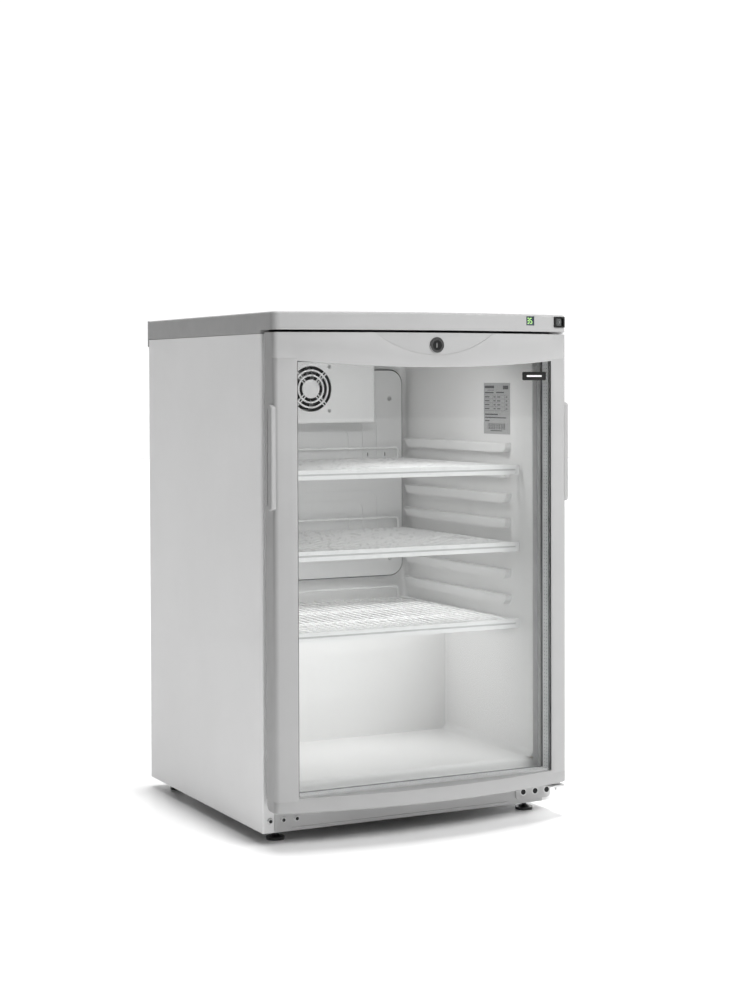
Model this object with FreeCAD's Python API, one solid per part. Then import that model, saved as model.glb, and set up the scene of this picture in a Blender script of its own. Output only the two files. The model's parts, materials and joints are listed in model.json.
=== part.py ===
"""Under counter display fridge: glass door with a bowed front, wire shelves and a grey worktop.

Millimetres, +Z up, the front towards -Y. The sub-parts are drawn with X = 0 on the centre plane,
Y = 0 on the front edge of the steel shell and Z = 0 on the floor. save() moves them in Y, so that
the origin is at the middle of the base of the whole fridge.
"""
import FreeCAD, Part
import math
import os

V = FreeCAD.Vector

# ---- cabinet shell
WIDTH = 540.0
HEIGHT = 845.0
SHELL_DEPTH = 504.0
SHELL_BOTTOM = 18.0
SHELL_TOP = 811.0
SHEET = 1.2
FLANGE = 20.0
GAP = 0.3
HALF = WIDTH / 2
FRONT_SCREWS = (211.0, 234.5, 257.5)
FRONT_SCREW_Z = 37.3
SCREW_HOLE = 2.0
INSIDE = HALF - SHEET - GAP
FLANGE_INNER = HALF - FLANGE

# ---- liner and what is behind it
LINER_HALF = 232.0
LINER_WALL = 2.0
LINER_REAR = 463.0
LINER_FLOOR = 95.0
LINER_CEILING = 785.0
LINER_RADIUS = 12.0
SILL_DROP = 10.0
HUMP_FRONT = 306.0
HUMP_TOP = 290.0
HUMP_FOAM = 40.0
UNDERFLOOR = 45.0
BAY_FRONT = HUMP_FRONT + HUMP_FOAM
BAY_TOP = HUMP_TOP - HUMP_FOAM - LINER_WALL
DRAIN_Y = 420.0
DRAIN_RADIUS = 8.0

# ---- shelves and their runners
RUNNER_COUNT = 8
RUNNER_TOP = 627.5
RUNNER_PITCH = 43.9
RUNNER_REACH = 12.0
RUNNER_HEIGHT = 16.0
RUNNER_FRONT = 70.0
RUNNER_REAR = 445.0
SHELF_RUNNERS = (1, 4, 7)
SHELF_HALF = 226.0
SHELF_FRONT = 33.0
SHELF_REAR = 440.0
SHELF_LIFT = 0.5
SIDE_ROD = 2.5
CROSS_ROD = 2.1
WIRE = 1.4
RAIL = 1.9
RAIL_HALF = 204.0
BAND_HALF = 222.0
BAND_HEIGHT = 15.9
BAND_DEPTH = 3.0
BAND_CAP_DEPTH = 6.0
WIRE_PITCH = 15.0
UPSTAND = 20.0

# ---- bowed front of the door and the worktop
BOW_TIP_Y = -86.2
BOW_DEPTH = 37.3
BOW_HALF_CHORD = 264.0

# ---- door
DOOR_HALF = 268.9
DOOR_REAR = -13.0
DOOR_BOTTOM = 58.0
DOOR_TOP = 812.5
DOOR_CORNER = 10.0
HEADER_JOINT = 771.9
RAIL_JOINT = 76.8
OPENING_HALF = 233.0
OPENING_BOTTOM = 82.0
OPENING_TOP = 768.0
HEADER_SAG = 10.5
REAR_LIP_TOP = 766.0
GLASS_HALF = 238.0
GLASS_BOTTOM = 72.0
GLASS_TOP = 776.0
OUTER_GLASS = (-54.0, -50.5)
INNER_GLASS = (-27.5, -23.5)
SPACER_WIDTH = 5.5
RAIL_REAR_ROUND = 12.0
RAIL_LOW_ROUND = 2.5
GRIP_Z = (533.0, 699.0)
GRIP_FLOOR = 258.0

# ---- hinge and lock
HINGE_X = 257.0
HINGE_Y = -33.0
HINGE_PIN = 3.0
BUSH_OUTER = 6.0
RUNNING = 0.05
LOCK_Z = 792.6
LOCK_RING = 13.0
LOCK_SLEEVE = 9.5
LOCK_PLUG = 8.0
LOCK_INSET_RADIUS = 183.0
LOCK_INSET_LOW = 777.0
CAM_REACH = 29.0
CAM_HALF = 6.0
CAM_Y = (-48.0, -45.0)
KEEPER_X = (-13.0, 30.0)
KEEPER_REAR = -30.0

# ---- worktop
BAND_BOTTOM = 811.5
FASCIA_BOTTOM = 816.5
BAND_WIDTH = 14.0
WORKTOP_CORNER = 15.0
PANEL_THICKNESS = 3.2
PANEL_INSET = 7.0
REAR_LIP = 8.0
REAR_LIP_BOTTOM = 798.5

# ---- controls
DISPLAY = (177.5, 195.0, 826.5, 841.5)
SWITCH_X = 251.5
SWITCH_Z = 833.0
SWITCH_WIDTH = 25.0
SWITCH_HEIGHT = 18.0
SWITCH_PIVOT = 6.0
ROCKER_RADIUS = 8.6
ROCKER_HEIGHT = 11.4
ROCKER_TILT = 8.0

# ---- fan, evaporator and light
FAN_Z = 721.4
FAN_FACE = 388.0
FAN_BOX_HALF = 131.0
FAN_BOX_BOTTOM = 658.5
FAN_RADIUS = 41.5
FAN_HUB = 17.2
GRILLE_PITCH = 9.1
GRILLE_SLOT = 6.1
FAN_SCREW = (37.0, 40.0)
FAN_FRONT = FAN_FACE + 4.0
FAN_DEPTH = 25.0
ROTOR_RADIUS = 38.0
ROTOR_HUB = 16.0
EVAPORATOR_HALF = 217.0
EVAPORATOR_Z = (368.0, 755.0)
EVAPORATOR_Y = 446.0
EVAPORATOR_SCREW = (191.0, 702.0, 400.0)
CHANNEL = 1.3
CHANNEL_WIDTH = 5.0
CHANNEL_BEND = 16.0
PLATE_SLOTS_X = (145.0, 181.0)
PLATE_SLOT_Z = (593.5, 600.5)
PLATE_SLOT_HALF = 1.3
PROBE_LOW = 620.0

# ---- compressor space
COMPRESSOR_X = -110.0
COMPRESSOR_Y = 424.0
TRAY_Z = 196.0
COIL_X = (40.0, 225.0)
COIL_ROWS = 6
COIL_PITCH = 26.0
COIL_LOW = 60.0

# ---- feet
FOOT_X = 234.0
FOOT_FRONT_Y = 33.0
FOOT_REAR_Y = 460.0
FOOT_RADIUS = 15.0
STUD = 4.0

FRONT_Y = -87.2
REAR_Y = SHELL_DEPTH + REAR_LIP
MIDDLE_Y = (FRONT_Y + REAR_Y) / 2


# ---------------------------------------------------------------- helpers
def save(name, shape):
    shape = shape.copy()
    shape.translate(V(0, -MIDDLE_Y, 0))
    shape.exportStep(os.path.join("parts", name + ".step"))


def box(x0, x1, y0, y1, z0, z1):
    return Part.makeBox(x1 - x0, y1 - y0, z1 - z0, V(x0, y0, z0))


def rod_x(y, z, x0, x1, radius):
    return Part.makeCylinder(radius, x1 - x0, V(x0, y, z), V(1, 0, 0))


def rod_y(x, z, y0, y1, radius):
    return Part.makeCylinder(radius, y1 - y0, V(x, y0, z), V(0, 1, 0))


def rod_z(x, y, z0, z1, radius):
    return Part.makeCylinder(radius, z1 - z0, V(x, y, z0), V(0, 0, 1))


def joined(shapes):
    return shapes[0].multiFuse(shapes[1:]).removeSplitter()


def mirrored(shape):
    return shape.mirror(V(0, 0, 0), V(1, 0, 0))


def edges_along(shape, direction, places):
    """Straight edges of a shape that run in a direction and pass one of the places."""
    found = []
    for edge in shape.Edges:
        start = edge.Vertexes[0].Point
        run = edge.Vertexes[-1].Point - start
        if run.Length > 1e-6 and abs(abs(run.normalize().dot(direction)) - 1) < 1e-6:
            near = [p for p in places if V(start - p).cross(direction).Length < 0.01]
            if near:
                found.append(edge)
    return found


def rounded_box(x0, x1, y0, y1, z0, z1, axis, radius):
    """Box with the four edges along an axis rounded."""
    block = box(x0, x1, y0, y1, z0, z1)
    corners = [V(x, y, z) for x in (x0, x1) for y in (y0, y1) for z in (z0, z1)]
    return block.makeFillet(radius, edges_along(block, axis, corners))


def bow_y(x):
    return BOW_TIP_Y + BOW_DEPTH * (x / BOW_HALF_CHORD) ** 2


def bowed_prism(half, rear, inset, z0, z1, corner):
    """Upright prism with a straight back and sides and the bowed front."""
    left = V(-half, bow_y(half) + inset, z0)
    right = V(half, bow_y(half) + inset, z0)
    front = Part.Arc(left, V(0, BOW_TIP_Y + inset, z0), right).toShape()
    sides = Part.makePolygon([right, V(half, rear, z0), V(-half, rear, z0), left])
    outline = Part.Wire([front] + sides.Edges)
    prism = Part.Face(outline).extrude(V(0, 0, z1 - z0))
    return prism.makeFillet(corner, edges_along(prism, V(0, 0, 1), [left, right]))


def skin(half, z0, z1, outer, inner):
    """Curved slab that follows the bowed front between two depths below it."""
    deep = 40.0
    slab = bowed_prism(half, deep, outer, z0, z1, DOOR_CORNER)
    return slab.cut(bowed_prism(half + 1, deep + 1, inner, z0 - 1, z1 + 1, DOOR_CORNER))


def tube(points, radius, bend):
    """Round bar along straight runs joined by tangent arcs of one bend radius."""
    points = [V(*p) for p in points]
    edges = []
    last = points[0]
    for before, corner, after in zip(points, points[1:], points[2:]):
        into = (corner - before).normalize()
        out = (after - corner).normalize()
        half_turn = math.acos(max(-1.0, min(1.0, into.dot(out)))) / 2
        trim = bend * math.tan(half_turn)
        start = corner - into * trim
        end = corner + out * trim
        towards = (out - into).normalize()
        middle = corner + towards * (bend / math.cos(half_turn) - bend)
        edges.append(Part.LineSegment(last, start).toShape())
        edges.append(Part.Arc(start, middle, end).toShape())
        last = end
    edges.append(Part.LineSegment(last, points[-1]).toShape())
    path = Part.Wire(edges)
    section = Part.Wire([Part.makeCircle(radius, points[0], points[1] - points[0])])
    return path.makePipeShell([section], True, True)


def ring_plate(outer, inner, y0, y1):
    """Flat rectangular ring; outer and inner are half width, low z, high z."""
    plate = box(-outer[0], outer[0], y0, y1, outer[1], outer[2])
    return plate.cut(box(-inner[0], inner[0], y0 - 1, y1 + 1, inner[1], inner[2]))


def cross_screw(x, z, y, radius, height, length):
    """Pan head screw that points towards +Y, with a cross recess."""
    head = Part.makeCone(radius * 0.7, radius, height, V(x, y - height, z), V(0, 1, 0))
    arm = radius * 0.6
    slot = radius * 0.14
    recess = box(x - arm, x + arm, y - height - 1, y - height * 0.45, z - slot, z + slot)
    recess = recess.fuse(box(x - slot, x + slot, y - height - 1, y - height * 0.45, z - arm, z + arm))
    return head.cut(recess).fuse(rod_y(x, z, y, y + length, radius * 0.35))


# ---------------------------------------------------------------- cabinet
def side_panel():
    """Right-hand steel side with its front and rear flanges."""
    bend = 3.0
    outer = box(FLANGE_INNER, HALF, 0, SHELL_DEPTH, SHELL_BOTTOM, SHELL_TOP)
    outer_edges = [V(HALF, 0, 0), V(HALF, SHELL_DEPTH, 0)]
    outer = outer.makeFillet(bend, edges_along(outer, V(0, 0, 1), outer_edges))
    skin_x = HALF - SHEET
    rear = SHELL_DEPTH - SHEET
    inner = box(FLANGE_INNER - 1, skin_x, SHEET, rear, SHELL_BOTTOM - 1, SHELL_TOP + 1)
    inner_edges = [V(skin_x, SHEET, 0), V(skin_x, rear, 0)]
    inner = inner.makeFillet(bend - SHEET, edges_along(inner, V(0, 0, 1), inner_edges))
    holes = [rod_y(x, FRONT_SCREW_Z, -1, SHEET + 1, SCREW_HOLE) for x in FRONT_SCREWS if x > FLANGE_INNER]
    return outer.cut(inner).cut(holes[0])


def rear_panel():
    y1 = SHELL_DEPTH - SHEET
    half = INSIDE - 2
    panel = box(-half, half, y1 - SHEET, y1, BAY_TOP + 2, SHELL_TOP)
    beads = [box(x - 4, x + 4, y1 - SHEET, y1 + 1.5, BAY_TOP + 60, SHELL_TOP - 60) for x in (-120, 0, 120)]
    return joined([panel] + beads)


def compressor_bay():
    """Folded sheet under the foam and around the compressor space."""
    rear = SHELL_DEPTH - 2 * SHEET
    floor = box(-INSIDE, INSIDE, 2, BAY_FRONT, UNDERFLOOR - SHEET, UNDERFLOOR)
    front = box(-INSIDE, INSIDE, BAY_FRONT - SHEET, BAY_FRONT, UNDERFLOOR - SHEET, BAY_TOP)
    roof = box(-INSIDE, INSIDE, BAY_FRONT - SHEET, rear, BAY_TOP - SHEET, BAY_TOP)
    return joined([floor, front, roof]).cut(rod_z(0, DRAIN_Y, BAY_TOP - 5, BAY_TOP + 5, DRAIN_RADIUS))


def liner_block(grow):
    """Inside space of the liner, or the block around it when grown by the wall."""
    half = LINER_HALF + grow
    rear = LINER_REAR + grow
    floor = LINER_FLOOR - grow
    ceiling = LINER_CEILING + grow
    radius = LINER_RADIUS + grow
    block = box(-half, half, 0, rear, floor, ceiling)
    upright = edges_along(block, V(0, 0, 1), [V(-half, rear, 0), V(half, rear, 0)])
    corners = [V(x, 0, z) for x in (-half, half) for z in (floor, ceiling)]
    block = block.makeFillet(radius, upright + edges_along(block, V(0, 1, 0), corners))
    hump = box(-half - 1, half + 1, HUMP_FRONT + grow, rear + 1, floor - 1, HUMP_TOP - grow)
    return block.cut(hump)


def runner(top):
    """Rib of the right-hand wall that carries a shelf; its underside is shorter than its top."""
    inner = LINER_HALF - RUNNER_REACH
    low = top - RUNNER_HEIGHT
    rear_low = RUNNER_REAR - RUNNER_HEIGHT
    points = [V(inner, RUNNER_FRONT, low), V(inner, RUNNER_FRONT, top), V(inner, RUNNER_REAR, top)]
    points += [V(inner, rear_low, low), points[0]]
    rib = Part.Face(Part.makePolygon(points)).extrude(V(RUNNER_REACH + 1, 0, 0))
    nose = edges_along(rib, V(1, 0, 0), [V(inner, RUNNER_FRONT, low)])
    rib = rib.makeFillet(RUNNER_HEIGHT - 4, nose)
    top_edge = edges_along(rib, V(0, 1, 0), [V(inner, 0, top)])
    return rib.makeFillet(3.5, top_edge)


def inner_liner():
    outer = liner_block(LINER_WALL)
    flange_half = FLANGE_INNER - GAP
    front = box(-flange_half, flange_half, 0, LINER_WALL, LINER_FLOOR - 45, SHELL_TOP)
    sill = box(-LINER_HALF, LINER_HALF, 0, SILL_DROP, LINER_FLOOR - SILL_DROP - LINER_WALL, LINER_FLOOR)
    liner = joined([outer, front, sill]).cut(liner_block(0))
    sill_space = box(-LINER_HALF, LINER_HALF, -1, SILL_DROP, LINER_FLOOR - SILL_DROP, LINER_FLOOR + 1)
    sill_round = rod_x(SILL_DROP, LINER_FLOOR - SILL_DROP, -LINER_HALF - 1, LINER_HALF + 1, SILL_DROP)
    liner = liner.cut(sill_space.cut(sill_round))
    ribs = []
    for number in range(RUNNER_COUNT):
        rib = runner(RUNNER_TOP - number * RUNNER_PITCH)
        ribs += [rib, mirrored(rib)]
    liner = joined([liner] + ribs)
    return liner.cut(rod_z(0, DRAIN_Y, HUMP_TOP - 5, HUMP_TOP + 1, DRAIN_RADIUS))


def foam_insulation():
    rear = SHELL_DEPTH - 2 * SHEET
    block = box(-INSIDE, INSIDE, LINER_WALL, rear, UNDERFLOOR, SHELL_TOP)
    bay = box(-HALF, HALF, BAY_FRONT - SHEET, SHELL_DEPTH, 0, BAY_TOP)
    sill = box(-LINER_HALF, LINER_HALF, 0, SILL_DROP, LINER_FLOOR - SILL_DROP - LINER_WALL, LINER_FLOOR)
    foam = block.cut(bay).cut(liner_block(LINER_WALL)).cut(sill)
    flange = box(HALF - FLANGE - 1, HALF, 0, LINER_WALL + 1, 0, SHELL_TOP + 1)
    corner = rod_z(HALF, 2, 0, HEIGHT, 3).fuse(rod_z(HALF, rear, 0, HEIGHT, 3))
    foam = foam.cut(flange).cut(mirrored(flange)).cut(corner).cut(mirrored(corner))
    return foam.cut(rod_z(0, DRAIN_Y, BAY_TOP - 1, HUMP_TOP + 1, DRAIN_RADIUS))


def plinth():
    half = FLANGE_INNER - GAP
    face = box(-half, half, 0, SHEET, SHELL_BOTTOM, LINER_FLOOR - 45 - GAP)
    lip = box(-half, half, 0, 10, SHELL_BOTTOM, SHELL_BOTTOM + SHEET)
    bead = rod_x(0, SHELL_BOTTOM + 5, -half + 30, half - 70, 0.8)
    shape = joined([face, lip, bead])
    for x in FRONT_SCREWS[:2]:
        shape = shape.cut(rod_y(x, FRONT_SCREW_Z, -2, SHEET + 1, SCREW_HOLE))
        shape = shape.cut(rod_y(-x, FRONT_SCREW_Z, -2, SHEET + 1, SCREW_HOLE))
    return shape


def base_tray():
    """Bottom pan with a threaded boss for each levelling foot."""
    rear = SHELL_DEPTH - 2 * SHEET
    shape = box(-INSIDE, INSIDE, 10 + GAP, rear, SHELL_BOTTOM, SHELL_BOTTOM + SHEET)
    shape = shape.fuse(box(-INSIDE, INSIDE, rear - SHEET, rear, SHELL_BOTTOM, 40))
    places = [(x, y) for x in (-FOOT_X, FOOT_X) for y in (FOOT_FRONT_Y, FOOT_REAR_Y)]
    for x, y in places:
        shape = shape.fuse(rod_z(x, y, SHELL_BOTTOM, SHELL_BOTTOM + 12, 8))
    for x, y in places:
        shape = shape.cut(rod_z(x, y, 0, 60, STUD + RUNNING))
    return shape.removeSplitter()


# ---------------------------------------------------------------- worktop and controls
def worktop_frame():
    """Grey top frame: bowed fascia, side and rear bands, and a lip behind the shell.

    The lock keeper, with the slot for the cam, is a block set flush into the fascia.
    """
    shape = bowed_prism(HALF, SHELL_DEPTH, 0, FASCIA_BOTTOM, HEIGHT, WORKTOP_CORNER)
    top_edges = [e for e in shape.Edges if min(v.Z for v in e.Vertexes) > HEIGHT - 0.01]
    rear_edges = edges_along(shape, V(1, 0, 0), [V(0, SHELL_DEPTH, HEIGHT)])
    top_edges = [e for e in top_edges if not any(e.isSame(r) for r in rear_edges)]
    shape = shape.makeFillet(3.5, top_edges)
    lip = box(-HALF, HALF, SHELL_DEPTH, SHELL_DEPTH + REAR_LIP, REAR_LIP_BOTTOM, HEIGHT)
    lip_edges = [V(x, SHELL_DEPTH + REAR_LIP, 0) for x in (-HALF, HALF)]
    lip = lip.makeFillet(5.0, edges_along(lip, V(0, 0, 1), lip_edges))
    band = box(-HALF, HALF, 0, SHELL_DEPTH, BAND_BOTTOM, FASCIA_BOTTOM)
    shape = joined([shape, lip, band])
    inside = HALF - BAND_WIDTH
    hollow_top = HEIGHT - PANEL_THICKNESS - 4
    hollow = box(-inside, inside, KEEPER_REAR, SHELL_DEPTH - BAND_WIDTH, BAND_BOTTOM - 1, hollow_top)
    seat = bowed_prism(HALF - PANEL_INSET, SHELL_DEPTH - 4, PANEL_INSET, HEIGHT - PANEL_THICKNESS,
                       HEIGHT + 1, WORKTOP_CORNER - 5)
    cam_slot = box(-9, 26, CAM_Y[0] - 4, CAM_Y[1] + 4, FASCIA_BOTTOM - 1, FASCIA_BOTTOM + 9)
    shape = shape.cut(hollow).cut(seat).cut(cam_slot)
    x0, x1, z0, z1 = DISPLAY
    window = skin(HALF, z0 - 0.1, z1 + 0.1, -2, 6.2).common(box(x0 - 0.1, x1 + 0.1, -100, 0, z0 - 1, z1 + 1))
    pocket = box(x0 - 14, x1 + 14, bow_y(x1) + 6.2, -20, FASCIA_BOTTOM + 4, HEIGHT - 8)
    mount = box(-SWITCH_WIDTH / 2 + 1.5, SWITCH_WIDTH / 2 - 1.5, -3, 24,
                -SWITCH_HEIGHT / 2 + 1.5, SWITCH_HEIGHT / 2 - 1.5)
    shape = shape.cut(window).cut(pocket).cut(on_switch(mount)).removeSplitter()
    block = box(KEEPER_X[0], KEEPER_X[1], -100, KEEPER_REAR, FASCIA_BOTTOM - 1, HEIGHT + 1)
    return Part.makeCompound([shape.cut(block), shape.common(block)])


def worktop_panel():
    return bowed_prism(HALF - PANEL_INSET - 0.2, SHELL_DEPTH - 4.2, PANEL_INSET + 0.2,
                       HEIGHT - PANEL_THICKNESS, HEIGHT, WORKTOP_CORNER - 5)


def display_window():
    x0, x1, z0, z1 = DISPLAY
    return skin(HALF, z0, z1, 0.3, 5).common(box(x0, x1, -100, 0, z0, z1))


def thermostat_controller():
    x0, x1 = DISPLAY[:2]
    front = bow_y(x1) + 7
    body = box(x0 - 12, x1 + 12, front, front + 26, FASCIA_BOTTOM + 5, HEIGHT - 9)
    plug = box(x0 - 4, x0 + 12, front + 26, front + 34, FASCIA_BOTTOM + 7, HEIGHT - 14)
    return body.fuse(plug)


def on_switch(shape):
    """Moves a shape drawn about the switch's own centre onto the bowed fascia."""
    slope = 2 * BOW_DEPTH * SWITCH_X / BOW_HALF_CHORD ** 2
    shape = shape.copy()
    shape.rotate(V(0, 0, 0), V(0, 0, 1), math.degrees(math.atan(slope)))
    shape.translate(V(SWITCH_X, bow_y(SWITCH_X), SWITCH_Z))
    return shape


def switch_bezel():
    half_w = SWITCH_WIDTH / 2
    half_h = SWITCH_HEIGHT / 2
    rim = rounded_box(-half_w, half_w, -2.2, -0.1, -half_h, half_h, V(0, 1, 0), 1.5)
    body = box(-half_w + 1.6, half_w - 1.6, -0.1, 18, -half_h + 1.6, half_h - 1.6)
    opening = box(-ROCKER_RADIUS - 0.4, ROCKER_RADIUS + 0.4, -3, SWITCH_PIVOT, -6.1, 6.1)
    cave = rod_z(0, SWITCH_PIVOT, -6.1, 6.1, ROCKER_RADIUS + 0.4)
    tabs = [box(x - 2.4, x + 2.4, 18, 24, -0.4, 0.4) for x in (-6, 6)]
    return on_switch(joined([rim, body] + tabs).cut(opening).cut(cave))


def switch_rocker():
    """Rocker with two sloping faces, drawn with its left end pressed in."""
    half = ROCKER_HEIGHT / 2
    drum = rod_z(0, SWITCH_PIVOT, -half, half, ROCKER_RADIUS)
    drum = drum.common(box(-20, 20, -20, SWITCH_PIVOT + 3, -half, half))
    ridge = SWITCH_PIVOT - ROCKER_RADIUS
    for side in (-1, 1):
        face = box(-20, 20, -20, 0, -20, 20)
        face.rotate(V(0, 0, 0), V(0, 0, 1), side * 10)
        face.translate(V(0, ridge + 0.8, 0))
        drum = drum.cut(face.common(box(min(0, side * 20), max(0, side * 20), -30, 10, -20, 20)))
    drum.rotate(V(0, SWITCH_PIVOT, 0), V(0, 0, 1), ROCKER_TILT)
    return on_switch(drum)


# ---------------------------------------------------------------- hinges and screws
def bottom_hinge_bracket():
    plate = rounded_box(196.5, 264, -3, 0, 24.5, 53, V(0, 1, 0), 7)
    shelf = rounded_box(240, 267.5, -47, -1, 50, 53, V(0, 0, 1), 6)
    square = box(240, 264, -3, 0, 45, 53)
    shape = joined([plate, shelf, square])
    for x in FRONT_SCREWS:
        shape = shape.cut(rod_y(x, FRONT_SCREW_Z, -4, 1, SCREW_HOLE))
        shape = shape.cut(Part.makeCone(6.4, SCREW_HOLE, 3, V(x, -3, FRONT_SCREW_Z), V(0, 1, 0)))
    return shape.cut(rod_z(HINGE_X, HINGE_Y, 40, 60, HINGE_PIN + 0.1))


def bottom_hinge_pin():
    tail = rod_z(HINGE_X, HINGE_Y, 42.5, 50.5, HINGE_PIN - 0.7)
    pin = rod_z(HINGE_X, HINGE_Y, 50, DOOR_BOTTOM + 12, HINGE_PIN)
    washer = rod_z(HINGE_X, HINGE_Y, 53, DOOR_BOTTOM - 0.4, 7)
    return joined([tail, pin, washer])


def top_hinge_bracket():
    low = DOOR_TOP + 0.8
    high = FASCIA_BOTTOM - 0.6
    arm = rounded_box(238, 267.5, -46, -2, low, high, V(0, 0, 1), 5)
    tail = box(238, HALF - BAND_WIDTH - 0.5, -8, 60, low, high)
    pin = rod_z(HINGE_X, HINGE_Y, DOOR_TOP - 12, high, HINGE_PIN)
    return joined([arm, tail, pin])


def front_screws():
    """Three countersunk hinge screws on the right and three pan heads in the spare holes."""
    shapes = []
    for x in FRONT_SCREWS:
        head = Part.makeCone(5.9, SCREW_HOLE - 0.1, 2.6, V(x, -2.8, FRONT_SCREW_Z), V(0, 1, 0))
        shank = rod_y(x, FRONT_SCREW_Z, -0.5, 14, SCREW_HOLE - 0.1)
        cross = box(x - 3, x + 3, -4, -1.6, FRONT_SCREW_Z - 0.7, FRONT_SCREW_Z + 0.7)
        cross = cross.fuse(box(x - 0.7, x + 0.7, -4, -1.6, FRONT_SCREW_Z - 3, FRONT_SCREW_Z + 3))
        shapes.append(head.fuse(shank).cut(cross))
        shapes.append(cross_screw(-x, FRONT_SCREW_Z, -GAP / 3, 5.4, 2.6, 10))
    return Part.makeCompound(shapes)


# ---------------------------------------------------------------- cooling inside
def channel_loop(half, low, high):
    """Raised refrigerant channel round a rounded rectangle on the face of the evaporator."""
    y = EVAPORATOR_Y
    outer = rounded_box(-half, half, y - CHANNEL, y + 1, low, high, V(0, 1, 0), CHANNEL_BEND)
    half -= CHANNEL_WIDTH
    low += CHANNEL_WIDTH
    high -= CHANNEL_WIDTH
    bend = CHANNEL_BEND - CHANNEL_WIDTH
    return outer.cut(rounded_box(-half, half, y - CHANNEL - 1, y + 2, low, high, V(0, 1, 0), bend))


def evaporator_plate():
    z0, z1 = EVAPORATOR_Z
    y = EVAPORATOR_Y
    plate = rounded_box(-EVAPORATOR_HALF, EVAPORATOR_HALF, y, y + 2, z0, z1, V(0, 1, 0), 26)
    loops = []
    for middle in (z0 + 95, z0 + 250):
        for half, rise in ((168, 66), (138, 48), (108, 30)):
            loops.append(channel_loop(half, middle - rise, middle + rise))
    x, high, low = EVAPORATOR_SCREW
    posts = [rod_y(s * x, z, y + 1, LINER_REAR, 6) for s in (-1, 1) for z in (high, low)]
    shape = joined([plate] + loops + posts)
    for slot_x in PLATE_SLOTS_X:
        shape = shape.cut(box(slot_x - PLATE_SLOT_HALF, slot_x + PLATE_SLOT_HALF, y - CHANNEL - 1, y + 3,
                              PLATE_SLOT_Z[0], PLATE_SLOT_Z[1]))
    return shape.removeSplitter()


def interior_screws():
    x, high, low = EVAPORATOR_SCREW
    shapes = [cross_screw(s * x, z, EVAPORATOR_Y - 0.1, 4.5, 2.4, 0.05) for s in (-1, 1) for z in (high, low)]
    dx, dz = FAN_SCREW
    for x in (-dx, dx):
        for z in (FAN_Z - dz, FAN_Z + dz):
            shapes.append(cross_screw(x, z, FAN_FACE - 0.1, 3.8, 2.2, 0.05))
    return Part.makeCompound(shapes)


def temperature_probe():
    bulb = rod_z(-172, EVAPORATOR_Y - 7, PROBE_LOW, PROBE_LOW + 40, 3.2)
    clip = box(-178, -166, EVAPORATOR_Y - 7, EVAPORATOR_Y - 2.6, PROBE_LOW + 14, PROBE_LOW + 22)
    return bulb.fuse(clip).removeSplitter()


def fan_housing():
    """Box at the top of the back wall with a round slotted grille."""
    rear = EVAPORATOR_Y - 3
    top = LINER_CEILING - GAP
    shape = box(-FAN_BOX_HALF, FAN_BOX_HALF, FAN_FACE, rear, FAN_BOX_BOTTOM, top)
    front_edges = [V(x, FAN_FACE, 0) for x in (-FAN_BOX_HALF, FAN_BOX_HALF)]
    lower = edges_along(shape, V(1, 0, 0), [V(0, FAN_FACE, FAN_BOX_BOTTOM)])
    shape = shape.makeFillet(4, edges_along(shape, V(0, 0, 1), front_edges) + lower)
    wall = 2.5
    inside = FAN_BOX_HALF - wall
    hollow = box(-inside, inside, FAN_FACE + wall, rear + 1, FAN_BOX_BOTTOM + wall, top - wall)
    shape = shape.cut(hollow)
    for number in range(3):
        low = FAN_HUB + number * GRILLE_PITCH
        slot = rod_y(0, FAN_Z, FAN_FACE - 1, FAN_FACE + wall + 1, low + GRILLE_SLOT)
        shape = shape.cut(slot.cut(rod_y(0, FAN_Z, FAN_FACE - 2, FAN_FACE + wall + 2, low)))
    spokes = []
    for turn in range(4):
        for shift in (-2.6, 2.6):
            spoke = box(FAN_HUB - 1, FAN_RADIUS, FAN_FACE + 0.4, FAN_FACE + wall, shift - 0.9, shift + 0.9)
            spoke.rotate(V(0, 0, 0), V(0, 1, 0), 45 + 90 * turn)
            spoke.translate(V(0, 0, FAN_Z))
            spokes.append(spoke)
    dx, dz = FAN_SCREW
    shape = joined([shape] + spokes)
    vents = [box(x - 3, x + 3, FAN_FACE + 12, rear - 8, FAN_BOX_BOTTOM - 1, FAN_BOX_BOTTOM + wall + 1)
             for x in range(-100, 101, 20)]
    for vent in vents:
        shape = shape.cut(vent)
    return shape


def fan_frame():
    """Square fan frame with its motor on four arms."""
    half = 46.0
    y0 = FAN_FRONT
    y1 = y0 + FAN_DEPTH
    shape = rounded_box(-half, half, y0, y1, FAN_Z - half, FAN_Z + half, V(0, 1, 0), 5)
    shape = shape.cut(rod_y(0, FAN_Z, y0 - 1, y1 + 1, FAN_RADIUS - 1))
    arms = [rod_y(0, FAN_Z, y1 - 6, y1, ROTOR_HUB)]
    for turn in range(4):
        arm = box(ROTOR_HUB - 2, FAN_RADIUS, y1 - 4, y1, -2, 2)
        arm.rotate(V(0, 0, 0), V(0, 1, 0), 20 + 90 * turn)
        arm.translate(V(0, 0, FAN_Z))
        arms.append(arm)
    shaft = rod_y(0, FAN_Z, y0 + 6, y1 - 5, 2)
    return joined([shape] + arms + [shaft])


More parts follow.
